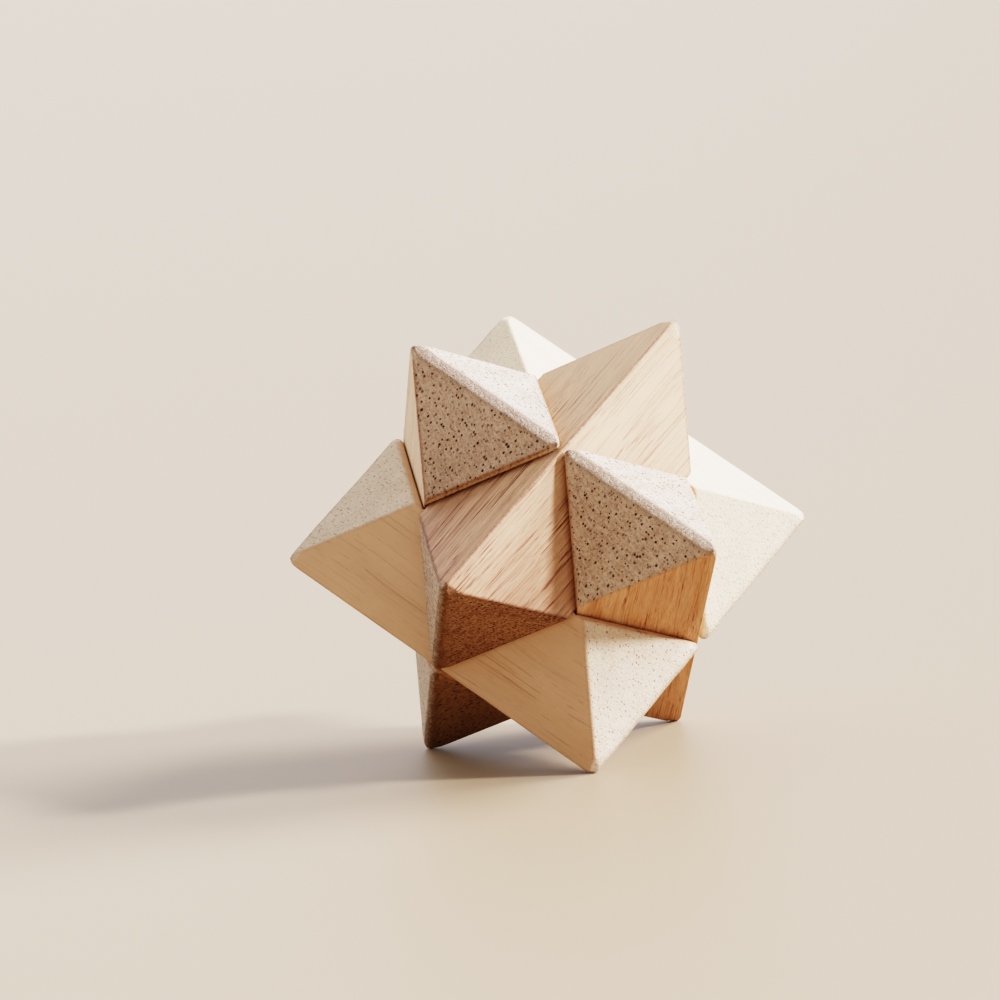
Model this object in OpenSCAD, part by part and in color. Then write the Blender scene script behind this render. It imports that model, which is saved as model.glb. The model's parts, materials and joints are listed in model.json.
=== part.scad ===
// Six-piece star burr puzzle, standing on three of its twelve spikes.
//
// Six equal wooden bars lock round one centre in three crossing pairs. A bar is a length of
// square stock set on edge. Each end is cut by two planes that meet at a right angle in an
// upright end ridge, and the inner edge has two V notches side by side, where the next pair
// of bars crosses. Each bar lies in the notches of one pair and holds the other pair in its
// own, so three bars lift off the other three together, and nothing is glued or pinned.
//
// Millimetres. The origin is on the table under the middle of the star, +Z is up and -Y is
// the front.

/* [Stock] */
// Side of the square stock that the bars are cut from
bar_side = 20; // [14:1:30]
// Play between two faces that meet
play = 0.3; // [0.1:0.05:0.6]
// How far an end ridge stands past the ridge of the bar that crosses it
end_overhang = 1.5; // [0.5:0.1:3]

/* [Sanding] */
// Radius on the two ridges at the ends of a bar
end_ridge_radius = 1.3; // [0.4:0.1:1.6]
// Radius on the four long ridges of a bar
long_ridge_radius = 0.5; // [0.2:0.1:1]
// Radius on the spike tips, seen from the side of the bar
tip_radius = 2.6; // [1.6:0.2:4]

/* [Colours] */
// Colour of the bar at the top front
top_front_colour = "#C89A78"; // [#C89A78:rosy tan, #D9C3A0:plain beech]
// Colour of the bar at the top left
top_left_colour = "#C8B49C"; // [#C8B49C:greyish tan, #D9C3A0:plain beech]
// Colour of the bar at the top right
top_right_colour = "#E0CDB0"; // [#E0CDB0:cream, #D9C3A0:plain beech]
// Colour of the bar at the lower left, whose long side faces the front
base_left_colour = "#DDB88A"; // [#DDB88A:straw, #D9C3A0:plain beech]
// Colour of the bar at the lower right
base_right_colour = "#D3A068"; // [#D3A068:honey, #D9C3A0:plain beech]
// Colour of the bar at the lower rear
base_rear_colour = "#B97F50"; // [#B97F50:russet, #D9C3A0:plain beech]

/* [Hidden] */
$fn = 48;

// From a bar's centre line to its ridges
half_diagonal = bar_side / sqrt(2);
// From the middle of the star to the centre line of every bar
centre_line = (bar_side + play) / sqrt(2);
// From the middle of the star to the outer ridge of a bar
ridge_reach = centre_line + half_diagonal;
// From the middle of a bar to the ridge at each end, before sanding
end_reach = ridge_reach + end_overhang;
// A block longer than any bar, for the cutting profiles
cut_length = 4 * end_reach;
// Angle between the upright axis through two opposite hollows and each bar's outward direction
tilt = acos(1 / sqrt(3));
// What the rounded tip takes off along each edge that meets there
tip_recess = tip_radius * (1 - 1 / sqrt(2));
// Height of the middle of the star when it stands on three tips
stand_height = (end_reach + ridge_reach - tip_recess) / sqrt(3);

// Flat rectangle with rounded corners, centred on the origin
module rounded_rectangle(width, height, radius) {
    square([width - 2 * radius, height], center = true);
    square([width, height - 2 * radius], center = true);
    for (x = [-1, 1], y = [-1, 1])
        translate([x * (width / 2 - radius), y * (height / 2 - radius)])
            circle(r = radius);
}

// Cross section of the stock, set on edge, with the middle of the star at the origin
module stock_section() {
    translate([0, centre_line])
        rotate(45)
            rounded_rectangle(bar_side, bar_side, long_ridge_radius);
}

// Outline seen along the outward direction: both ends come to a right-angled ridge
module end_outline() {
    side = end_reach * sqrt(2);
    rotate(45)
        rounded_rectangle(side, side, end_ridge_radius);
}

// Outline seen across the bar: eased tips, and the two notches in the inner edge
module side_outline() {
    difference() {
        translate([0, centre_line])
            rounded_rectangle(2 * end_reach, 2 * half_diagonal, tip_radius);
        for (side = [-1, 1])
            translate([side * centre_line, 0])
                rotate(45)
                    square(bar_side + play, center = true);
    }
}

// One bar along X with its outer ridge up; the middle of the star is at the origin
module bar() {
    intersection() {
        rotate([90, 0, 90])
            linear_extrude(height = cut_length, center = true)
                stock_section();
        linear_extrude(height = cut_length, center = true)
            end_outline();
        rotate([90, 0, 0])
            linear_extrude(height = cut_length, center = true)
                side_outline();
    }
}

// An upper bar: it leans outwards and up, towards the given compass angle
module upper_bar(azimuth) {
    translate([0, 0, stand_height])
        rotate([0, 0, azimuth])
            rotate([0, tilt, 0])
                rotate([0, 0, -45])
                    bar();
}

// A lower bar: it leans outwards and down, and one of its spikes is a foot
module lower_bar(azimuth) {
    translate([0, 0, stand_height])
        rotate([0, 0, azimuth])
            rotate([0, 180 - tilt, 0])
                rotate([0, 0, 45])
                    bar();
}

module top_front_bar() {
    color(top_front_colour) upper_bar(-90);
}

module top_right_bar() {
    color(top_right_colour) upper_bar(30);
}

module top_left_bar() {
    color(top_left_colour) upper_bar(150);
}

module base_left_bar() {
    color(base_left_colour) lower_bar(210);
}

module base_right_bar() {
    color(base_right_colour) lower_bar(-30);
}

module base_rear_bar() {
    color(base_rear_colour) lower_bar(90);
}

top_front_bar();
top_left_bar();
top_right_bar();
base_left_bar();
base_right_bar();
base_rear_bar();
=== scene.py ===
"""Dresses the star burr puzzle: six notched wooden bars, a pale floor, soft light and a camera.

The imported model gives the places. Each bar is made again as a fine mesh with sanded edges, and
is cut from solid wood: rings, vessels and rays run through the bar in its own grain direction,
so that the long faces show streaks and the end faces show pores, as in real stock.
Lengths inside the classes are millimetres, and they become metres when a mesh is made.
"""

from __future__ import annotations

import json
import logging
import math
from dataclasses import dataclass
from enum import Enum

import bmesh
import bpy
import numpy as np
from mathutils import Matrix, Vector

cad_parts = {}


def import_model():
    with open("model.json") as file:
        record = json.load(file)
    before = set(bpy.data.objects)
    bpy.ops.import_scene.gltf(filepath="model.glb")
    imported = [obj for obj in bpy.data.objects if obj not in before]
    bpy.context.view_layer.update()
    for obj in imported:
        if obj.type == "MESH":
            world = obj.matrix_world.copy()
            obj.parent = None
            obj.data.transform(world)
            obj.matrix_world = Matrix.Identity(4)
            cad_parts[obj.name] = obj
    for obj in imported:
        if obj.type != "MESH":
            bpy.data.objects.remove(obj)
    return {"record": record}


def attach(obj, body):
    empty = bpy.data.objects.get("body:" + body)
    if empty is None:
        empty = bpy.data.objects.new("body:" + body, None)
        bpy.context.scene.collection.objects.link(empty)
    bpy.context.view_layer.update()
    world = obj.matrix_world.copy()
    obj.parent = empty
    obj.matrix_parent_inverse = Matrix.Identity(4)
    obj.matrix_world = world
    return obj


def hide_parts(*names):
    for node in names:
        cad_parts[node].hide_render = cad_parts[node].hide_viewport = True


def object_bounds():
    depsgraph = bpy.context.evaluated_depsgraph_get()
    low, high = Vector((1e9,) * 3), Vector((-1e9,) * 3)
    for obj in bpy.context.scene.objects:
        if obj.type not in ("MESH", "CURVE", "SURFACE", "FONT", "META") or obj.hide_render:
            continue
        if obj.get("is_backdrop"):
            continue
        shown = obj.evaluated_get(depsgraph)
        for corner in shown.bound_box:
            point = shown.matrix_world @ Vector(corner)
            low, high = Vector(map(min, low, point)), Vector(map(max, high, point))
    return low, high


LOG = logging.getLogger("burr_puzzle")
Socket = bpy.types.NodeSocket
Outputs = bpy.types.NodeOutputs
METRE = 1000.0  # millimetres in a metre
ROOT_TWO = math.sqrt(2)
FAR = 9.0  # a distance, in millimetres, that is past every edge effect
RIDGE_LENGTH = 4.0  # how far from a bar's end, in millimetres, its end ridge can be
RIDGE_BLEND = 0.8  # half the width, in millimetres, over which one side of an end ridge turns into the other
MERGE = 0.002  # distance, in millimetres, within which points of a mesh become one
FACES = 8  # flat faces of a bar's half that its rounding is worked out from
END_FACES = (4, 5)  # places of the two end faces among them


def smoothstep(values: np.ndarray, low: float, high: float) -> np.ndarray:
    """Rises smoothly from 0 at low to 1 at high, by the cubic 3t^2 - 2t^3.

    Args:
        values: Any array.
        low: Value where the step starts.
        high: Value where the step ends.

    Returns:
        An array of the same shape, from 0 to 1.
    """
    t = np.clip((values - low) / (high - low), 0.0, 1.0)
    return t * t * (3 - 2 * t)


def eased(count: int) -> np.ndarray:
    """Gives count steps from 0 up to, but not at, 1, crowded at both ends as a cosine is."""
    return (1 - np.cos(np.pi * np.arange(count) / count)) / 2


def colour(code: str) -> tuple[float, float, float, float]:
    """Turns a hex colour into scene-linear red, green, blue and alpha.

    Args:
        code: Six hex digits, as on a paint chart.

    Returns:
        The linear colour, with alpha 1.
    """
    parts = [int(code[i : i + 2], 16) / 255 for i in (0, 2, 4)]
    linear = [c / 12.92 if c <= 0.04045 else ((c + 0.055) / 1.055) ** 2.4 for c in parts]
    return (linear[0], linear[1], linear[2], 1.0)


class Level(Enum):
    """Which ring of bars a bar belongs to when the puzzle stands on three tips."""

    UPPER = "upper"
    LOWER = "lower"


@dataclass(frozen=True)
class WoodFinish:
    """How one bar's wood looks, all six being the same timber.

    Attributes:
        name: Name of the material.
        light: Hex colour of the pale wood on a long face.
        dark: Hex colour of the darker bands on a long face.
        end: Hex colour of the end grain.
        streak: Hex colour of an opened vessel on a long face.
        pore: Hex colour of a vessel's mouth on an end face.
        band_strength: How far the growth bands go towards the dark colour.
        streak_strength: How strongly the opened vessels show.
        pore_strength: How strongly the vessel mouths show.
        vessel_radius: Radius of the largest vessels.
        vessel_spacing: Mean distance between vessels, across the grain.
        streak_fade: How far the streaks fade and the wood pales towards the bar's X+ end, or
        towards its X- end if negative. The other end turns darker and more streaked. The darkening
        is painted shade for an end that stands low in shade, and the streaks are figure.
        speckle: How dark the dark grains of an end face are.
        edge_stain: How dark the edges are: partly wear, partly painted shade on the narrow strips that face
            down beside the end faces.
        ridge_dust: How much of the end ridge is scuffed and dull.
        scorch: Hex colour of end grain in painted shade, on one face of the X+ end.
        scorched_side: Which face of the X+ end takes the painted shade colour, 1 or -1 as along Y, or 0 for
            none.
        growth_turn: Turn of the radial direction about the bar, in degrees.
        cut_from: Where along the plank the bar was cut, which picks its own figure.
        roughness: Mean roughness of the sanded face.
    """

    name: str
    light: str
    dark: str
    end: str
    streak: str
    pore: str
    band_strength: float = 0.5
    streak_strength: float = 0.6
    pore_strength: float = 1.0
    vessel_radius: float = 0.185
    vessel_spacing: float = 0.98
    streak_fade: float = 0.0
    speckle: float = 0.42
    edge_stain: float = 0.25
    ridge_dust: float = 0.85
    scorch: str = "A27A58"
    scorched_side: float = 0.0
    growth_turn: float = 20.0
    cut_from: float = 0.0
    roughness: float = 0.62


@dataclass(frozen=True)
class BarShape:
    """The shape that all six bars share, in millimetres, with the star's middle at the origin.

    The bar lies along X with its outer ridge upwards, in the direction of Z.

    Attributes:
        side: Side of the square stock.
        play: Gap between two faces that meet.
        overhang: How far an end ridge stands past the ridge of the crossing bar.
        arris_radius: Rounding of the edges along the bar and round its end faces.
        end_radius: Rounding of the end ridges, which are sanded most.
        tip_radius: Rounding of the other edges where they run into a tip.
        flatness: How near the rounding of the end ridges is to a flat bevel, from 0 to 1.
    """

    side: float = 20.0
    play: float = 0.3
    overhang: float = 1.5
    arris_radius: float = 0.28
    end_radius: float = 1.2
    tip_radius: float = 0.6
    flatness: float = 0.82

    @property
    def half_diagonal(self) -> float:
        """From the bar's centre line to its ridges."""
        return self.side / ROOT_TWO

    @property
    def centre_line(self) -> float:
        """From the middle of the star to the bar's centre line."""
        return (self.side + self.play) / ROOT_TWO

    @property
    def reach(self) -> float:
        """From the middle of the bar to each end ridge, before sanding."""
        return self.centre_line + self.half_diagonal + self.overhang

    def sanded(self, points: np.ndarray) -> np.ndarray:
        """Marks the end ridges, which lie in the plane Y = 0.

        Args:
            points: Points, one to a row.

        Returns:
            1 at an end ridge and 0 away from it.
        """
        near_end = smoothstep(np.abs(points[:, 0]), self.reach - 3.0, self.reach - 1.0)
        beside_ridge = smoothstep(np.abs(points[:, 1]), 0.9, 2.2)
        return near_end * (1 - beside_ridge)

    def radii(self, points: np.ndarray) -> np.ndarray:
        """Gives the rounding radius of each face at each point.

        Near an end ridge it grows from the arris radius to the end radius on the two end
        faces, and to the tip radius on the other faces.

        Args:
            points: Points, one to a row.

        Returns:
            A row for each point, in the order of distances.
        """
        target = np.full(FACES, self.tip_radius)
        target[list(END_FACES)] = self.end_radius
        return self.arris_radius + (target - self.arris_radius) * self.sanded(points)[:, None]

    def power(self, points: np.ndarray) -> np.ndarray:
        """Gives the power of the rounding curve: 2 for a circle, 1 for a flat bevel."""
        return 2.0 - self.flatness * self.sanded(points)

    def distances(self, points: np.ndarray) -> np.ndarray:
        """Measures how far each point lies outside each flat face.

        Columns: the two outer long faces, the two inner long faces, the two end faces, the
        notch floor, and the far side of the middle pyramid. The faces of the other half are
        left out, because distances along X are folded over.

        Args:
            points: Points, one to a row.

        Returns:
            A row for each point, negative inside a face.
        """
        along = np.abs(points[:, 0])
        across = np.abs(points[:, 1])
        outward = points[:, 2]
        from_line = outward - self.centre_line
        floor = np.minimum(along, 2 * self.centre_line - along) - outward
        columns = [
            across + from_line - self.half_diagonal,
            -across + from_line - self.half_diagonal,
            across - from_line - self.half_diagonal,
            -across - from_line - self.half_diagonal,
            along + across - self.reach,
            along - across - self.reach,
            floor,
            -along - outward,
        ]
        return np.stack(columns, axis=1) / ROOT_TWO

    def overlap(self, points: np.ndarray) -> np.ndarray:
        """Gives how far each point is into the rounding zone of each face, in radii."""
        radii = self.radii(points)
        return np.maximum(self.distances(points) + radii, 0.0) / radii

    def field(self, points: np.ndarray) -> np.ndarray:
        """Gives a value that is 0 on the rounded surface and positive outside it.

        With a face's distance d, its radius r and the local power p, it is the p-th root of
        the sum of max(d / r + 1, 0)^p over the faces, less 1, in units of the arris radius.
        Two faces that meet get a round edge, or one nearer a bevel when p is below 2.

        Args:
            points: Points, one to a row.

        Returns:
            The field at each point.
        """
        power = self.power(points)
        total = (self.overlap(points) ** power[:, None]).sum(axis=1)
        return (total ** (1.0 / power) - 1.0) * self.arris_radius

    def slope(self, points: np.ndarray) -> np.ndarray:
        """Gives the gradient of the field, by central differences.

        Args:
            points: Points, one to a row.

        Returns:
            The gradient at each point.
        """
        step = 0.004
        columns = []
        for axis in range(3):
            shift = np.zeros(3)
            shift[axis] = step
            columns.append(self.field(points + shift) - self.field(points - shift))
        return np.stack(columns, axis=1) / (2 * step)

    def rounded(self, points: np.ndarray) -> np.ndarray:
        """Moves points of the sharp bar to the rounded surface.

        Each of Newton's steps goes down the slope g by the field over |g|^2.

        Args:
            points: Points, one to a row.

        Returns:
            The moved points.
        """
        newton_steps, least_square = 12, 0.01
        moved = points.copy()
        for _ in range(newton_steps):
            slope = self.slope(moved)
            square = np.maximum((slope**2).sum(axis=1), least_square)
            moved -= slope * (self.field(moved) / square)[:, None]
        return moved

    def stations(self) -> np.ndarray:
        """Lists the places along the bar of its cross sections, crowded at every edge.

        Each mark is a place where an edge crosses, and the sections from it to the next one.

        Returns:
            Places on X, from the X- end to the X+ end.
        """
        marks = [
            (0.0, 3),
            (self.centre_line - self.half_diagonal, 40),
            (self.centre_line, 10),
            (self.reach - self.half_diagonal, 44),
            (self.reach - self.overhang, 16),
            (self.reach, 0),
        ]
        runs = []
        for (start, count), (stop, _) in zip(marks, marks[1:]):
            runs.append(start + (stop - start) * eased(count))
        half = np.concatenate([*runs, [self.reach]])
        return np.concatenate([-half[:0:-1], half])

    def sharp_grid(self) -> np.ndarray:
        """Gives the bar's surface before sanding, as a grid of points.

        The first axis runs along the bar and the second once round it. At each place the
        cross section is a closed outline through the middle of its floor, the foot of the
        inner face, the lower and upper corner of the side, and the outer ridge. At the end
        ridge it closes to an upright line.

        Returns:
            Sections by points round a section by 3.
        """
        x = self.stations()
        along = np.abs(x)
        half_width = np.minimum(self.half_diagonal, self.reach - along)
        inner_ridge = self.centre_line - self.half_diagonal
        floor = np.maximum(np.minimum(along, 2 * self.centre_line - along), inner_ridge)
        zero = np.zeros_like(x)
        corners = [
            (zero, floor),
            (floor - inner_ridge, floor),
            (half_width, inner_ridge + half_width),
            (half_width, self.centre_line + self.half_diagonal - half_width),
            (zero, zero + self.centre_line + self.half_diagonal),
        ]
        points_per_side = (18, 16, 32, 36)
        across, outward = [], []
        for (y0, z0), (y1, z1), count in zip(corners, corners[1:], points_per_side):
            t = eased(count)[None, :]
            across.append(y0[:, None] + (y1 - y0)[:, None] * t)
            outward.append(z0[:, None] + (z1 - z0)[:, None] * t)
        across.append(corners[-1][0][:, None])
        outward.append(corners[-1][1][:, None])
        y = np.concatenate(across, axis=1)
        z = np.concatenate(outward, axis=1)
        y = np.concatenate([y, -y[:, -2:0:-1]], axis=1)
        z = np.concatenate([z, z[:, -2:0:-1]], axis=1)
        return np.stack([np.broadcast_to(x[:, None], y.shape), y, z], axis=-1)


@dataclass
class Seat:
    """Where a bar sits in the star, and which way its grain runs.

    Attributes:
        level: The ring of bars that it belongs to.
        azimuth: Compass angle that the bar leans towards, in degrees.
        middle: Middle of the star, in metres.
    """

    level: Level
    azimuth: float
    middle: Vector

    def turn(self) -> Matrix:
        """Turns the bar's frame to the puzzle's: spun on its axis, tilted, set at its azimuth.

        Returns:
            A 3 by 3 matrix.
        """
        tilt = math.acos(1 / math.sqrt(3))
        lean, spin = (tilt, -45) if self.level is Level.UPPER else (math.pi - tilt, 45)
        return (
            Matrix.Rotation(math.radians(self.azimuth), 3, "Z")
            @ Matrix.Rotation(lean, 3, "Y")
            @ Matrix.Rotation(math.radians(spin), 3, "Z")
        )

    def placed(self, points: np.ndarray) -> np.ndarray:
        """Moves millimetre points of the bar's own frame to metres in the puzzle's frame."""
        turned = points @ np.array(self.turn()).T
        return turned / METRE + np.array(self.middle)


class Sheet:
    """Short calls for adding nodes to a shader tree and joining them."""

    def __init__(self, tree: bpy.types.NodeTree) -> None:
        """Keeps the tree that the nodes go into."""
        self.tree = tree

    def node(self, kind: str, **settings: object) -> bpy.types.Node:
        """Adds a node.

        Args:
            kind: The node's type, without its ShaderNode prefix.
            settings: Values for the node's own properties.

        Returns:
            The new node.
        """
        made = self.tree.nodes.new("ShaderNode" + kind)
        for name, value in settings.items():
            setattr(made, name, value)
        return made

    def feed(self, socket: Socket, value: object) -> None:
        """Joins an input to an output, or sets its value.

        Args:
            socket: The input.
            value: An output or a plain value.
        """
        if isinstance(value, Socket):
            self.tree.links.new(value, socket)
        else:
            socket.default_value = value

    def maths(self, operation: str, *values: object, clamp: bool = False) -> Socket:
        """Adds a Math node.

        Args:
            operation: The node's operation.
            values: Its inputs, as sockets or numbers.
            clamp: Whether the result is kept from 0 to 1.

        Returns:
            The result.
        """
        made = self.node("Math", operation=operation, use_clamp=clamp)
        for socket, value in zip(made.inputs, values):
            self.feed(socket, value)
        return made.outputs[0]

    def vector(self, operation: str, *values: object) -> Socket:
        """Adds a Vector Math node.

        Args:
            operation: The node's operation.
            values: Its inputs, as sockets or vectors.

        Returns:
            The vector result.
        """
        made = self.node("VectorMath", operation=operation)
        for socket, value in zip(made.inputs, values):
            self.feed(socket, value)
        return made.outputs[0]

    def noise(
        self, place: object, stretch: tuple[float, float, float], detail: float = 2.0, rough: float = 0.5
    ) -> bpy.types.Node:
        """Adds a Noise Texture whose cells are one over stretch long on each axis.

        Args:
            place: Position that it reads.
            stretch: Cells in a unit of length.
            detail: Number of finer noises.
            rough: Strength of the finer noises.

        Returns:
            The noise node.
        """
        made = self.node("TexNoise", noise_dimensions="3D", normalize=True)
        self.feed(made.inputs["Vector"], self.vector("MULTIPLY", place, stretch))
        made.inputs["Scale"].default_value = 1.0
        made.inputs["Detail"].default_value = detail
        made.inputs["Roughness"].default_value = rough
        return made

    def step(self, value: object, low: object, high: object) -> Socket:
        """Adds a smooth step.

        Args:
            value: What the step depends on.
            low: Value where the step starts at 0.
            high: Value where the step ends at 1.

        Returns:
            The step.
        """
        made = self.node("MapRange", interpolation_type="SMOOTHSTEP", clamp=True)
        self.feed(made.inputs["Value"], value)
        self.feed(made.inputs["From Min"], low)
        self.feed(made.inputs["From Max"], high)
        return made.outputs["Result"]

    def mix(self, factor: object, first: object, second: object, blend: str = "MIX") -> Socket:
        """Adds a colour Mix node.

        Args:
            factor: Share of the second colour.
            first: The first colour.
            second: The second colour.
            blend: How the colours are mixed.

        Returns:
            The mixed colour.
        """
        made = self.node("Mix", data_type="RGBA", blend_type=blend)
        self.feed(made.inputs[0], factor)
        self.feed(made.inputs[6], first)
        self.feed(made.inputs[7], second)
        return made.outputs[2]


class Timber:
    """The solid wood that every bar is cut from, as node groups built once."""

    MASKS = ("End Grain", "Off Ridge", "Off Edge", "Along", "Side")
    STRENGTHS = ("Scorched Side", "Band Strength", "Streak Strength", "Pore Strength", "Vessel Radius")
    STRENGTHS += ("Vessel Spacing", "Streak Fade", "Speckle", "Edge Stain", "Ridge Dust", "Roughness")
    COLOURS = ("Light", "Dark", "End", "Scorch", "Streak", "Pore")

    # Each pattern's cells per millimetre along the grain, along the rings and across them,
    # its detail and roughness, and the noise values between which it is made crisp, if it is.
    FIGURE = {
        "Bands": ((0.006, 0.05, 0.45), 2.0, 0.6, (0.38, 0.62)),
        "Lines": ((0.03, 3.2, 3.2), 3.0, 0.7, (0.48, 0.72)),
        "Fibres": ((0.35, 9.0, 9.0), 2.0, 0.7, None),
        "Rays": ((0.8, 4.5, 0.45), 2.0, 0.6, None),
        "Clouds": ((0.06, 0.18, 0.18), 2.0, 0.5, None),
        "Fuzz": ((2.2, 2.2, 2.2), 4.0, 0.8, None),
        "Flecks": ((0.30, 4.2, 4.2), 1.0, 0.5, (0.64, 0.74)),
        "Patches": ((0.09, 0.4, 0.4), 2.0, 0.6, (0.40, 0.62)),
        "Runs": ((0.16, 2.4, 2.4), 2.0, 0.7, (0.44, 0.60)),
    }

    def __init__(self) -> None:
        """Builds the node groups, the wood from the figure and the vessels."""
        self.vessels = self._vessels()
        self.figure = self._figure()
        self.wood = self._wood()

    @staticmethod
    def _group(name: str, inputs: dict[str, str], outputs: dict[str, str]) -> bpy.types.NodeTree:
        """Makes an empty node group with named sockets.

        Args:
            name: The group's name.
            inputs: Socket type of each input, by name.
            outputs: Socket type of each output, by name.

        Returns:
            The group, with its input and output nodes named "in" and "out".
        """
        tree = bpy.data.node_groups.new(name, "ShaderNodeTree")
        for label, kind in inputs.items():
            tree.interface.new_socket(label, in_out="INPUT", socket_type="NodeSocket" + kind)
        for label, kind in outputs.items():
            tree.interface.new_socket(label, in_out="OUTPUT", socket_type="NodeSocket" + kind)
        tree.nodes.new("NodeGroupInput").name = "in"
        tree.nodes.new("NodeGroupOutput").name = "out"
        return tree

    def _vessels(self) -> bpy.types.NodeTree:
        """Builds the vessels: tubes that run along X, single or in short radial pairs.

        A tube is what lies within a radius of a cell's point, in a flat cell pattern across
        the grain. Its radius differs from cell to cell, and some cells have a twin beside
        them. The mask ends at the tube's wall and the halo fades out round it.

        Returns:
            The group.
        """
        tree = self._group(
            "vessels",
            {"Position": "Vector", "Radius": "Float", "Spacing": "Float"},
            {"Mask": "Float", "Halo": "Float"},
        )
        sheet = Sheet(tree)
        given = tree.nodes["in"].outputs
        spread = sheet.maths("DIVIDE", 1.0, given["Spacing"])
        masks, halos = [], []
        every_cell, few_cells = -1.0, 0.82
        for twin, share in ((0.0, every_cell), (0.42, few_cells)):
            apart = sheet.node("SeparateXYZ")
            moved = sheet.vector("ADD", given["Position"], (0.0, 0.2 * twin, twin))
            sheet.feed(apart.inputs[0], moved)
            across = sheet.node("CombineXYZ")
            sheet.feed(across.inputs[0], apart.outputs[1])
            sheet.feed(across.inputs[1], apart.outputs[2])
            cells = sheet.node("TexVoronoi", voronoi_dimensions="2D", feature="F1")
            sheet.feed(cells.inputs["Vector"], across.outputs[0])
            sheet.feed(cells.inputs["Scale"], spread)
            cells.inputs["Randomness"].default_value = 0.95
            picks = sheet.node("SeparateColor")
            sheet.feed(picks.inputs[0], cells.outputs["Color"])
            size = sheet.maths("MULTIPLY_ADD", picks.outputs[0], 0.5, 0.5)
            edge = sheet.maths("MULTIPLY", sheet.maths("MULTIPLY", given["Radius"], size), spread)
            there = sheet.maths("GREATER_THAN", picks.outputs[1], share)
            depth = sheet.maths("MULTIPLY", there, sheet.maths("MULTIPLY_ADD", picks.outputs[2], 0.6, 0.4))
            for rim, kept in ((1.20, masks), (2.40, halos)):
                outer = sheet.maths("MULTIPLY", edge, rim)
                inner = sheet.maths("MULTIPLY", edge, 0.80)
                mask = sheet.maths("SUBTRACT", 1.0, sheet.step(cells.outputs["Distance"], inner, outer))
                kept.append(sheet.maths("MULTIPLY", mask, depth))
        for label, parts in (("Mask", masks), ("Halo", halos)):
            sheet.feed(tree.nodes["out"].inputs[label], sheet.maths("MAXIMUM", *parts))
        return tree

    def _figure(self) -> bpy.types.NodeTree:
        """Builds the figure of the wood apart from its vessels.

        Every pattern is a noise drawn out along its own direction: growth bands along the
        rings, thin lines and fibres along the grain, and rays along the radial direction.

        Returns:
            The group.
        """
        tree = self._group("figure", {"Position": "Vector"}, {label: "Float" for label in self.FIGURE})
        sheet = Sheet(tree)
        for label, (stretch, detail, rough, limits) in self.FIGURE.items():
            noise = sheet.noise(tree.nodes["in"].outputs["Position"], stretch, detail, rough)
            value = sheet.step(noise.outputs["Fac"], *limits) if limits else noise.outputs["Fac"]
            sheet.feed(tree.nodes["out"].inputs[label], value)
        return tree

    def _wood(self) -> bpy.types.NodeTree:
        """Builds the wood: its figure, its vessels, the wear on its edges, and painted shade along its edges
        and towards one end.

        The position is in millimetres: X along the grain, Y along the rings and Z across
        them. End Grain is 1 on a face that cuts the fibres and 0 on one that follows them.

        Returns:
            The group.
        """
        inputs = {"Position": "Vector"}
        inputs.update({label: "Float" for label in self.MASKS + self.STRENGTHS})
        inputs.update({label: "Color" for label in self.COLOURS})
        tree = self._group("wood", inputs, {"Color": "Color", "Roughness": "Float", "Height": "Float"})
        sheet = Sheet(tree)
        given = tree.nodes["in"].outputs
        end = given["End Grain"]

        place = self._swayed(sheet, given["Position"])
        figure = sheet.node("Group", node_tree=self.figure)
        sheet.feed(figure.inputs["Position"], place)
        part = figure.outputs
        fuzz = sheet.maths("SUBTRACT", part["Fuzz"], 0.5)
        fibres = sheet.maths("SUBTRACT", part["Fibres"], 0.5)
        large = self._pick_vessels(sheet, place, given, 1.0, 1.0)
        small = self._pick_vessels(sheet, place, given, 0.5, 0.55)
        mouths = sheet.maths("MAXIMUM", large["Mask"], sheet.maths("MULTIPLY", small["Mask"], 0.50))
        # Place along the bar times the fade: it fades the streaks, and it paints shade on one end of the bar.
        faded_and_shaded = sheet.maths("MULTIPLY", given["Along"], given["Streak Fade"])

        face = self._long_face(sheet, given, part, fibres, faded_and_shaded)
        cut_wood = self._cut_wood(sheet, given)
        cut = self._end_face(sheet, given, part, fuzz, cut_wood)
        toned = sheet.node("HueSaturation")
        sheet.feed(toned.inputs["Color"], sheet.mix(end, face, cut))
        sheet.feed(toned.inputs["Value"], sheet.maths("MULTIPLY_ADD", part["Clouds"], 0.26, 0.87))

        streaks = self._streaks(sheet, given, part, faded_and_shaded, mouths, large["Halo"])
        streaked = sheet.mix(streaks, toned.outputs[0], given["Streak"])
        worn = self._worn(sheet, given, fuzz)
        bare = sheet.maths("MULTIPLY_ADD", worn, -0.75, 1.0)
        dots = sheet.maths("MULTIPLY", sheet.maths("MULTIPLY", mouths, end), given["Pore Strength"])
        dotted = sheet.mix(sheet.maths("MULTIPLY", dots, bare), streaked, given["Pore"])
        ridged = self._dusted(sheet, given, fuzz, worn, cut_wood, dotted)
        # Darker line along the edges: partly wear, partly painted shade on the narrow downward strips.
        stain_and_shade = self._stain(sheet, given, fuzz, worn)

        out = tree.nodes["out"].inputs
        sheet.feed(out["Color"], sheet.mix(stain_and_shade, ridged, given["Dark"], "MULTIPLY"))
        rough = sheet.maths("MULTIPLY_ADD", fibres, 0.25, given["Roughness"])
        sheet.feed(out["Roughness"], sheet.maths("MULTIPLY_ADD", end, 0.10, rough, clamp=True))
        height = sheet.maths("MULTIPLY_ADD", fibres, 0.05, sheet.maths("MULTIPLY", mouths, -0.10))
        torn = sheet.maths("MULTIPLY_ADD", end, 0.14, 0.03)
        torn = sheet.maths("MULTIPLY_ADD", worn, 0.42, torn)
        sheet.feed(out["Height"], sheet.maths("MULTIPLY_ADD", fuzz, torn, height))
        return tree

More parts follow.
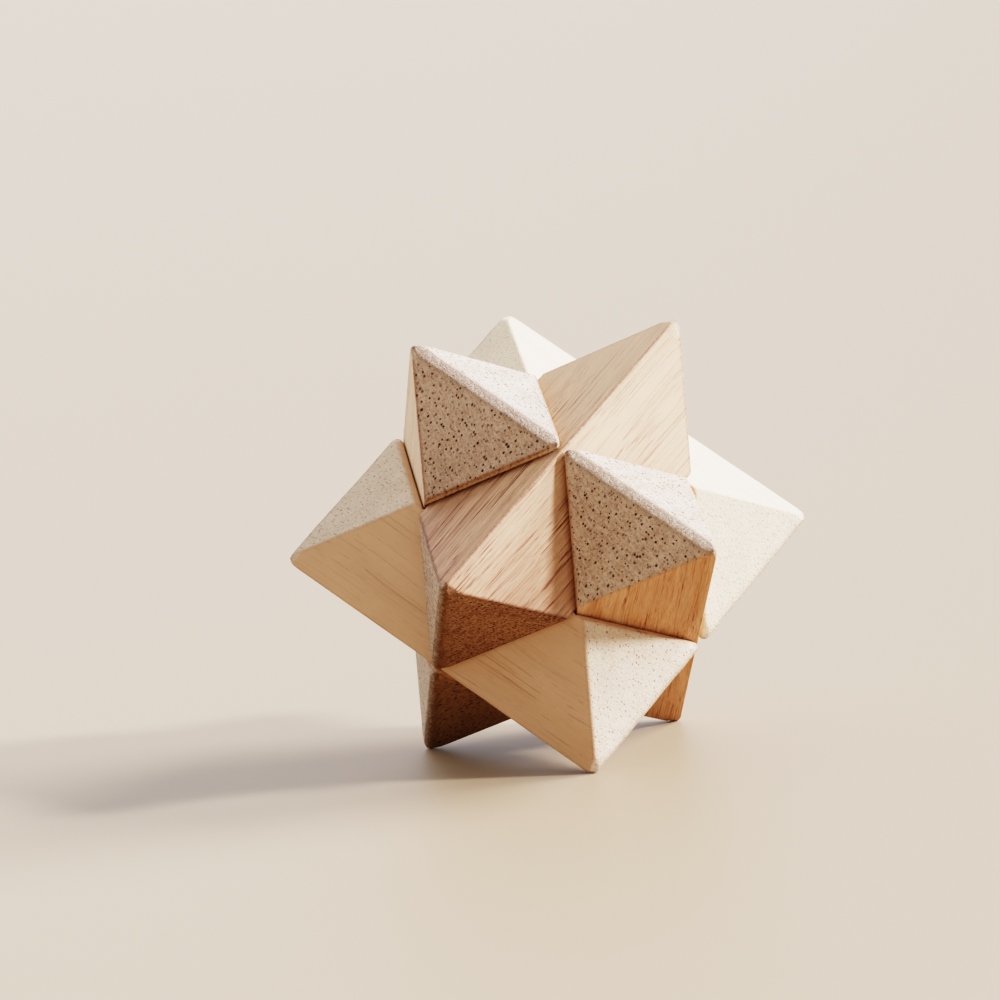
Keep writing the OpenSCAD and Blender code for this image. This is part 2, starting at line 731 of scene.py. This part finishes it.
    @staticmethod
    def _swayed(sheet: Sheet, position: Socket) -> Socket:
        """Moves the position across the grain by a slow noise, so that no grain is quite straight.

        Args:
            sheet: The wood's sheet.
            position: Position in the wood.

        Returns:
            The moved position.
        """
        sway = sheet.noise(position, (0.035, 0.09, 0.09), 1.0).outputs["Color"]
        sway = sheet.vector("SUBTRACT", sway, (0.5, 0.5, 0.5))
        return sheet.vector("ADD", position, sheet.vector("MULTIPLY", sway, (0.0, 2.4, 2.4)))

    @staticmethod
    def _long_face(sheet: Sheet, given: Outputs, part: Outputs, fibres: Socket, faded_and_shaded: Socket) -> Socket:
        """Colours a long face: pale wood with darker growth bands, lines and fibres, and painted shade that
        darkens one end of the bar.

        Args:
            sheet: The wood's sheet.
            given: The wood's inputs.
            part: The figure.
            fibres: Fibre noise about 0.
            faded_and_shaded: How far the streaks have faded, which here also paints shade on one end.

        Returns:
            The colour.
        """
        shade = sheet.maths("MULTIPLY_ADD", part["Lines"], 0.45, sheet.maths("MULTIPLY", part["Bands"], 0.40))
        # Painted shade: the colour turns darker towards one end of the bar, standing in for the shade on an
        # end that stands low.
        shade = sheet.maths("MULTIPLY_ADD", faded_and_shaded, -0.70, shade)
        shade = sheet.maths("MULTIPLY_ADD", fibres, 1.0, shade)
        shade = sheet.maths("MULTIPLY", shade, given["Band Strength"], clamp=True)
        return sheet.mix(shade, given["Light"], given["Dark"])

    @staticmethod
    def _cut_wood(sheet: Sheet, given: Outputs) -> Socket:
        """Colours plain end grain, with painted shade: one face of the X+ end takes a darker colour, where
        that face looks down into shade.

        Args:
            sheet: The wood's sheet.
            given: The wood's inputs.

        Returns:
            The colour.
        """
        # Painted shade: the chosen face of the X+ end turns to the darker shaded end colour.
        any_side = sheet.maths("ABSOLUTE", given["Scorched Side"])
        shaded_face = sheet.maths("MULTIPLY_ADD", given["Side"], given["Scorched Side"], 0.5)
        shaded_face = sheet.maths("MULTIPLY", shaded_face, any_side, clamp=True)
        first_end = sheet.maths("GREATER_THAN", given["Along"], 0.0)
        return sheet.mix(sheet.maths("MULTIPLY", shaded_face, first_end), given["End"], given["Scorch"])

    @staticmethod
    def _end_face(sheet: Sheet, given: Outputs, part: Outputs, fuzz: Socket, cut_wood: Socket) -> Socket:
        """Colours an end face: rays and dark grains over the plain colour.

        Args:
            sheet: The wood's sheet.
            given: The wood's inputs.
            part: The figure.
            fuzz: Fine noise about 0.
            cut_wood: Plain colour of the end grain.

        Returns:
            The colour.
        """
        grains = sheet.maths("MULTIPLY_ADD", sheet.maths("SUBTRACT", part["Rays"], 0.5), 1.8, 0.42)
        grains = sheet.maths("MULTIPLY_ADD", fuzz, 3.4, grains)
        bands = sheet.maths("SUBTRACT", part["Bands"], 0.5)
        grains = sheet.maths("MULTIPLY_ADD", bands, 0.25, grains, clamp=True)
        grained = sheet.mix(given["Speckle"], cut_wood, given["Dark"], "MULTIPLY")
        return sheet.mix(grains, cut_wood, grained)

    @staticmethod
    def _streaks(
        sheet: Sheet, given: Outputs, part: Outputs, faded_and_shaded: Socket, mouths: Socket, halo: Socket
    ) -> Socket:
        """Gives where opened vessels streak a long face.

        They come in runs, have soft edges, and are joined by loose flecks. Patches of the
        face have fewer of them.

        Args:
            sheet: The wood's sheet.
            given: The wood's inputs.
            part: The figure.
            faded_and_shaded: How far the streaks have faded.
            mouths: Where the vessels are.
            halo: The soft surrounds of the large vessels.

        Returns:
            The mask.
        """
        shown = sheet.maths("MULTIPLY", sheet.maths("SUBTRACT", 1.0, faded_and_shaded), given["Streak Strength"])
        shown = sheet.maths("MULTIPLY", shown, sheet.maths("MULTIPLY_ADD", part["Patches"], 0.8, 0.2))
        streaks = sheet.maths("MULTIPLY", mouths, part["Runs"])
        streaks = sheet.maths("MULTIPLY_ADD", halo, 0.12, streaks)
        streaks = sheet.maths("MULTIPLY_ADD", part["Flecks"], 0.50, streaks)
        streaks = sheet.maths("MULTIPLY", streaks, sheet.maths("SUBTRACT", 1.0, given["End Grain"]))
        return sheet.maths("MULTIPLY", streaks, shown, clamp=True)

    @staticmethod
    def _worn(sheet: Sheet, given: Outputs, fuzz: Socket) -> Socket:
        """Gives the ragged band along an end ridge that the sander has roughened.

        Args:
            sheet: The wood's sheet.
            given: The wood's inputs.
            fuzz: Fine noise about 0.

        Returns:
            The mask.
        """
        ragged = sheet.maths("MULTIPLY_ADD", fuzz, 3.2, given["Off Ridge"])
        worn = sheet.maths("SUBTRACT", 1.0, sheet.step(ragged, 0.75, 1.15))
        on_cut = sheet.maths("MULTIPLY_ADD", given["End Grain"], 0.85, 0.15, clamp=True)
        return sheet.maths("MULTIPLY", worn, on_cut)

    @staticmethod
    def _dusted(
        sheet: Sheet, given: Outputs, fuzz: Socket, worn: Socket, cut_wood: Socket, below: Socket
    ) -> Socket:
        """Lays the dull, dusty colour of roughened wood over the colour below it.

        Args:
            sheet: The wood's sheet.
            given: The wood's inputs.
            fuzz: Fine noise about 0.
            worn: The roughened band.
            cut_wood: Plain colour of the end grain.
            below: Colour that the dust lies on.

        Returns:
            The colour.
        """
        dull = sheet.node("HueSaturation")
        sheet.feed(dull.inputs["Color"], cut_wood)
        dull.inputs["Hue"].default_value = 0.488
        dull.inputs["Saturation"].default_value = 1.4
        dull.inputs["Value"].default_value = 0.50
        dusty = sheet.maths("MULTIPLY", worn, sheet.maths("MULTIPLY_ADD", fuzz, 7.0, 0.70, clamp=True))
        return sheet.mix(sheet.maths("MULTIPLY", dusty, given["Ridge Dust"]), below, dull.outputs[0])

    @staticmethod
    def _stain(sheet: Sheet, given: Outputs, fuzz: Socket, worn: Socket) -> Socket:
        """Gives the thin dark line along an edge, except on a sanded ridge: partly wear from handling, partly
        painted shade on the narrow strips that face down beside the end faces.

        Args:
            sheet: The wood's sheet.
            given: The wood's inputs.
            fuzz: Fine noise about 0.
            worn: The roughened band.

        Returns:
            The mask.
        """
        near = sheet.maths("MULTIPLY_ADD", fuzz, 1.2, given["Off Edge"])
        stain_and_shade = sheet.maths("SUBTRACT", 1.0, sheet.step(near, 0.05, 0.50))
        stain_and_shade = sheet.maths("MULTIPLY", stain_and_shade, sheet.maths("SUBTRACT", 1.0, worn))
        return sheet.maths("MULTIPLY", stain_and_shade, given["Edge Stain"])

    def _pick_vessels(
        self, sheet: Sheet, place: Socket, given: Outputs, wide: float, far: float
    ) -> Outputs:
        """Adds one layer of vessels.

        Args:
            sheet: The wood's sheet.
            place: The swayed position.
            given: The wood's inputs.
            wide: Share of the finish's radius.
            far: Share of the finish's spacing.

        Returns:
            The Mask and Halo outputs.
        """
        vessels = sheet.node("Group", node_tree=self.vessels)
        sheet.feed(vessels.inputs["Position"], place)
        sheet.feed(vessels.inputs["Radius"], sheet.maths("MULTIPLY", given["Vessel Radius"], wide))
        sheet.feed(vessels.inputs["Spacing"], sheet.maths("MULTIPLY", given["Vessel Spacing"], far))
        return vessels.outputs

    @staticmethod
    def _field(label: str) -> str:
        """Gives the name of the field or the attribute that feeds a socket."""
        return label.lower().replace(" ", "_")

    def dress(self, finish: WoodFinish, seat: Seat) -> bpy.types.Material:
        """Makes the material of one bar.

        Args:
            finish: The bar's finish.
            seat: The bar's place, which its grain follows.

        Returns:
            The material.
        """
        material = bpy.data.materials.new(finish.name)
        material.use_nodes = True
        tree = material.node_tree
        sheet = Sheet(tree)
        shader = tree.nodes["Principled BSDF"]

        figure = Matrix.Rotation(math.radians(finish.growth_turn), 3, "X") @ seat.turn().transposed()
        shift = figure @ (-METRE * seat.middle) + Vector((finish.cut_from, 0.0, 0.0))
        mapping = sheet.node("Mapping", vector_type="POINT")
        mapping.inputs["Location"].default_value = shift
        mapping.inputs["Rotation"].default_value = figure.to_euler("XYZ")
        mapping.inputs["Scale"].default_value = (METRE, METRE, METRE)
        place = sheet.node("TexCoord")
        sheet.feed(mapping.inputs["Vector"], place.outputs["Object"])

        wood = sheet.node("Group", node_tree=self.wood)
        sheet.feed(wood.inputs["Position"], mapping.outputs[0])
        for label in self.MASKS:
            mask = sheet.node("Attribute", attribute_name=self._field(label))
            sheet.feed(wood.inputs[label], mask.outputs["Fac"])
        for label in self.STRENGTHS:
            wood.inputs[label].default_value = getattr(finish, self._field(label))
        for label in self.COLOURS:
            wood.inputs[label].default_value = colour(getattr(finish, self._field(label)))

        bump = sheet.node("Bump")
        bump.inputs["Strength"].default_value = 1.0
        bump.inputs["Distance"].default_value = 1 / METRE
        sheet.feed(bump.inputs["Height"], wood.outputs["Height"])
        sheet.feed(shader.inputs["Base Color"], wood.outputs["Color"])
        sheet.feed(shader.inputs["Roughness"], wood.outputs["Roughness"])
        sheet.feed(shader.inputs["Normal"], bump.outputs[0])
        shader.inputs["Specular IOR Level"].default_value = 0.35
        return material


@dataclass
class Bar:
    """One bar of the puzzle, made as a fine mesh and dressed.

    Attributes:
        node: Name of the CAD node that it stands for.
        body: Name of the body that it rides on.
        slot: Name of the record's material slot; not used.
        seat: Its place in the star.
        shape: The shape that all bars share.
        finish: Its wood.
        sanding: Number that picks the small unevenness left by sanding.
    """

    node: str
    body: str
    slot: str
    seat: Seat
    shape: BarShape
    finish: WoodFinish
    sanding: int

    def unevenness(self, points: np.ndarray) -> np.ndarray:
        """Gives the small hollows and swells that sanding leaves, in millimetres.

        It is a sum of sine waves in random directions with lengths from 3 to 14 mm, which is
        almost nothing on the flat faces and grows towards the hand-rounded end ridges.

        Args:
            points: Points, one to a row.

        Returns:
            The height at each point.
        """
        flat_depth, ridge_depth, count = 0.008, 0.045, 14
        rng = np.random.default_rng(self.sanding)
        total = np.zeros(len(points))
        for length in np.geomspace(14.0, 3.0, count):
            direction = rng.normal(size=3)
            direction /= np.linalg.norm(direction)
            phase = rng.uniform(0, 2 * np.pi)
            total += np.sin(points @ direction * (2 * np.pi / length) + phase)
        near_ridge = 1 - smoothstep(np.abs(points[:, 1]), 0.8, 3.0)
        near_end = smoothstep(np.abs(points[:, 0]), self.shape.reach - 5.0, self.shape.reach - 1.0)
        return total / math.sqrt(count) * (flat_depth + ridge_depth * near_ridge * near_end)

    def build(self) -> bpy.types.Object:
        """Makes the bar's mesh: the sharp grid, rounded, with its seams merged.

        Returns:
            The bar's object, at the origin, with its masks as point attributes.
        """
        grid = self.shape.sharp_grid()
        rows, columns = grid.shape[:2]
        points = self.shape.rounded(grid.reshape(-1, 3))
        slope = self.shape.slope(points)
        normal = slope / np.linalg.norm(slope, axis=1)[:, None]
        masks = self.masks(points, normal)
        points = points + normal * self.unevenness(points)[:, None]

        index = np.arange(rows * columns).reshape(rows, columns)
        here, ahead = index[:-1], index[1:]
        faces = np.stack([here, np.roll(here, -1, 1), np.roll(ahead, -1, 1), ahead], axis=-1)
        mesh = bpy.data.meshes.new(self.node + "_wood")
        mesh.from_pydata(self.seat.placed(points).tolist(), [], faces.reshape(-1, 4).tolist())
        for name, values in masks.items():
            layer = mesh.attributes.new(name, "FLOAT", "POINT")
            layer.data.foreach_set("value", values.astype(np.float32))

        shaped = bmesh.new()
        shaped.from_mesh(mesh)
        bmesh.ops.remove_doubles(shaped, verts=shaped.verts, dist=MERGE / METRE)
        bmesh.ops.recalc_face_normals(shaped, faces=shaped.faces)
        shaped.to_mesh(mesh)
        shaped.free()
        mesh.polygons.foreach_set("use_smooth", np.ones(len(mesh.polygons), dtype=bool))
        mesh.update()
        bar = bpy.data.objects.new(self.node + "_wood", mesh)
        bpy.context.scene.collection.objects.link(bar)
        return bar

    def masks(self, points: np.ndarray, normal: np.ndarray) -> dict[str, np.ndarray]:
        """Works out where the end grain is, and how far each point is from the sanded edges.

        Args:
            points: Points on the rounded surface, in the bar's own frame.
            normal: Outward direction at each point.

        Returns:
            By attribute name: end grain from 0 to 1, the distance from an end ridge and the
            distance inside the nearest other face, both in millimetres, and the place along
            the bar and across it, from -1 to 1.
        """
        along = np.abs(points[:, 0])
        across = np.abs(points[:, 1])
        inside = -self.shape.distances(points)
        inside[:, END_FACES[1]] = FAR
        inside.sort(axis=1)
        return {
            "end_grain": smoothstep(np.abs(normal[:, 0]), 0.25, 0.60),
            "off_ridge": np.where(along > self.shape.reach - RIDGE_LENGTH, across, FAR),
            "off_edge": np.maximum(inside[:, 1], 0.0),
            "along": points[:, 0] / self.shape.reach,
            "side": np.clip(points[:, 1] / RIDGE_BLEND, -1.0, 1.0),
        }

    def make(self, timber: Timber) -> bpy.types.Object:
        """Builds and dresses the bar, and says which CAD node it stands for.

        Args:
            timber: The wood that it is cut from.

        Returns:
            The bar's object.
        """
        bar = self.build()
        bar.data.materials.append(timber.dress(self.finish, self.seat))
        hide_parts(self.node)
        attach(bar, self.body)
        LOG.info("%s: %d faces", bar.name, len(bar.data.polygons))
        return bar


@dataclass
class Studio:
    """The pale floor, the soft light and the camera.

    Attributes:
        middle: Middle of the star, in metres.
        floor_level: Height that the star's tips stand on, in metres.
        floor_reach: Half the side of the floor, in metres, which is wide enough to have no edge.
        floor_colour: Hex colour of the floor.
        room_colour: Hex colour of the even light that the room gives.
        lens: Focal length of the camera, in millimetres.
        away: From the middle of the star to the camera, in metres, before it shifts.
        right_shift: How far the camera shifts to its right, in metres.
        up_shift: How far the camera shifts up, in metres.
    """

    middle: Vector
    floor_level: float
    floor_reach: float = 60.0
    floor_colour: str = "957D62"
    room_colour: str = "EFF3FA"
    lens: float = 152.05
    away: float = 0.6538
    right_shift: float = -0.007612
    up_shift: float = 0.005919

    def floor(self) -> bpy.types.Object:
        """Makes a wide plain floor.

        Returns:
            The floor's object.
        """
        mesh = bpy.data.meshes.new("floor")
        signs = ((-1, -1), (1, -1), (1, 1), (-1, 1))
        corners = [(x * self.floor_reach, y * self.floor_reach, self.floor_level) for x, y in signs]
        mesh.from_pydata(corners, [], [(0, 1, 2, 3)])
        floor = bpy.data.objects.new("floor", mesh)
        bpy.context.scene.collection.objects.link(floor)
        material = bpy.data.materials.new("pale_floor")
        material.use_nodes = True
        shader = material.node_tree.nodes["Principled BSDF"]
        shader.inputs["Base Color"].default_value = colour(self.floor_colour)
        shader.inputs["Roughness"].default_value = 0.55
        floor.data.materials.append(material)
        floor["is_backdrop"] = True
        return floor

    def sun(
        self, name: str, azimuth: float, elevation: float, spread: float, power: float, tint: str
    ) -> None:
        """Adds a far soft light.

        Args:
            name: Name of the light.
            azimuth: Compass angle that it comes from, 0 being the front and 90 the right.
            elevation: Angle above the floor, in degrees.
            spread: How wide the light looks from the star, in degrees, which softens shadows.
            power: Strength, in watts per square metre.
            tint: Hex colour.
        """
        data = bpy.data.lights.new(name, "SUN")
        data.angle = math.radians(spread)
        data.energy = power
        data.color = colour(tint)[:3]
        sun = bpy.data.objects.new(name, data)
        bpy.context.scene.collection.objects.link(sun)
        a, e = math.radians(azimuth), math.radians(elevation)
        back = Vector((math.sin(a) * math.cos(e), -math.cos(a) * math.cos(e), math.sin(e)))
        sun.rotation_euler = back.to_track_quat("Z", "Y").to_euler()

    def light(self) -> None:
        """Sets the room's even light and the soft lights, and a crisp film-like tone curve."""
        world = bpy.data.worlds.new("room")
        world.use_nodes = True
        background = world.node_tree.nodes["Background"]
        background.inputs["Color"].default_value = colour(self.room_colour)
        background.inputs["Strength"].default_value = 0.42
        scene = bpy.context.scene
        scene.world = world
        scene.view_settings.view_transform = "Filmic"
        scene.view_settings.look = "Very High Contrast"
        scene.view_settings.exposure = 0.6
        self.sun("near_window", 70, 28, 7, 4.2, "EAF1FF")
        self.sun("far_window", 100, 32, 30, 5.0, "EAF1FF")
        self.sun("back_window", 215, 30, 100, 1.4, "EEF4FF")

    def camera(self) -> bpy.types.Object:
        """Makes the camera: a long lens, low, a little left of the front, and slightly rolled.

        Returns:
            The camera's object.
        """
        azimuth, elevation, roll = math.radians(-6.83), math.radians(7.51), math.radians(-4.80)
        back = Vector(
            (
                math.sin(azimuth) * math.cos(elevation),
                -math.cos(azimuth) * math.cos(elevation),
                math.sin(elevation),
            )
        )
        level = Vector((0, 0, 1)).cross(back).normalized()
        upright = back.cross(level)
        right = level * math.cos(roll) + upright * math.sin(roll)
        up = -level * math.sin(roll) + upright * math.cos(roll)
        data = bpy.data.cameras.new("camera")
        data.lens = self.lens
        data.sensor_width = 36.0
        data.clip_start = 0.01
        data.clip_end = 200.0
        camera = bpy.data.objects.new("camera", data)
        bpy.context.scene.collection.objects.link(camera)
        camera.location = self.middle + back * self.away + right * self.right_shift + up * self.up_shift
        camera.rotation_euler = Matrix((right, up, back)).transposed().to_euler()
        bpy.context.scene.camera = camera
        return camera


FINISHES = {
    "top_front_bar": WoodFinish(
        name="rosy_wood", light="C8A17E", dark="936448", end="CBB39A",
        streak="763E25", pore="32150A",
        band_strength=0.85, streak_strength=1.15, growth_turn=35.0, cut_from=40.0, vessel_spacing=0.60,
        # Painted shade on this bar: its lower end is darker, its edges carry a darker line, and the downward
        # face of its lower end takes the shaded end colour.
        streak_fade=-1.0, vessel_radius=0.16, speckle=0.7, edge_stain=0.6, scorched_side=1.0,
    ),
    "top_left_bar": WoodFinish(
        name="grey_tan_wood", light="DCBF9F", dark="A56A38", end="C9B19B",
        streak="94684A", pore="3E2012",
        # Painted shade: a strong dark edge line darkens the narrow downward strips beside the end faces.
        growth_turn=-26.0, cut_from=130.0, edge_stain=0.7, speckle=0.5,
    ),
    "top_right_bar": WoodFinish(
        name="cream_wood", light="DFC1A0", dark="CBA781", end="D8C0A1",
        streak="B58C62", pore="8A6A4E",
        streak_strength=0.3, pore_strength=0.3, cut_from=220.0, speckle=0.2, ridge_dust=0.3,
    ),
    "base_left_bar": WoodFinish(
        name="straw_wood", light="CEA887", dark="B88A62", end="D0B89C",
        streak="8A5530", pore="7A5338",
        streak_strength=0.5, pore_strength=0.85, growth_turn=60.0, cut_from=310.0, vessel_radius=0.15,
        # Painted shade: the X+ end, the spike that stands low near the floor, is darker.
        streak_fade=-0.75, speckle=0.32, ridge_dust=0.45,
    ),
    "base_right_bar": WoodFinish(
        name="honey_wood", light="D1A37F", dark="A0683A", end="C7AF97",
        streak="7C4420", pore="3E2012",
        band_strength=1.2, streak_strength=1.2, growth_turn=-17.0, cut_from=405.0, edge_stain=0.1,
        speckle=0.5,
    ),
    "base_rear_bar": WoodFinish(
        name="russet_wood", light="C4976C", dark="94623C", end="CBB39A",
        streak="6B3A1E", pore="2E140A",
        # Painted shade: one face of this bar's X+ end takes the darker shaded end colour.
        growth_turn=10.0, cut_from=520.0, speckle=0.5, scorched_side=-1.0, scorch="A67F5A",
    ),
}

SEATS = {
    "top_front_bar": (Level.UPPER, -90.0),
    "top_left_bar": (Level.UPPER, 150.0),
    "top_right_bar": (Level.UPPER, 30.0),
    "base_left_bar": (Level.LOWER, 210.0),
    "base_right_bar": (Level.LOWER, -30.0),
    "base_rear_bar": (Level.LOWER, 90.0),
}


def main() -> None:
    """Builds the puzzle and its studio."""
    logging.basicConfig(level=logging.INFO, format="%(message)s")
    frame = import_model()
    cad_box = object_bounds()
    middle = (cad_box[0] + cad_box[1]) / 2
    record = frame["record"]
    slots = {part["node"]: part["material_slot"] for part in record["subparts"]}
    bodies = {node: body for body, nodes in record["behaviour"]["bodies"].items() for node in nodes}

    shape = BarShape()
    timber = Timber()
    bars = []
    for number, (node, (level, azimuth)) in enumerate(SEATS.items()):
        seat = Seat(level, azimuth, middle)
        bar = Bar(node, bodies[node], slots[node], seat, shape, FINISHES[node], number)
        bars.append(bar.make(timber))
    lowest = min(vertex.co.z for bar in bars for vertex in bar.data.vertices)

    studio = Studio(middle, lowest)
    studio.floor()
    studio.light()
    studio.camera()


if __name__ == "__main__":
    main()
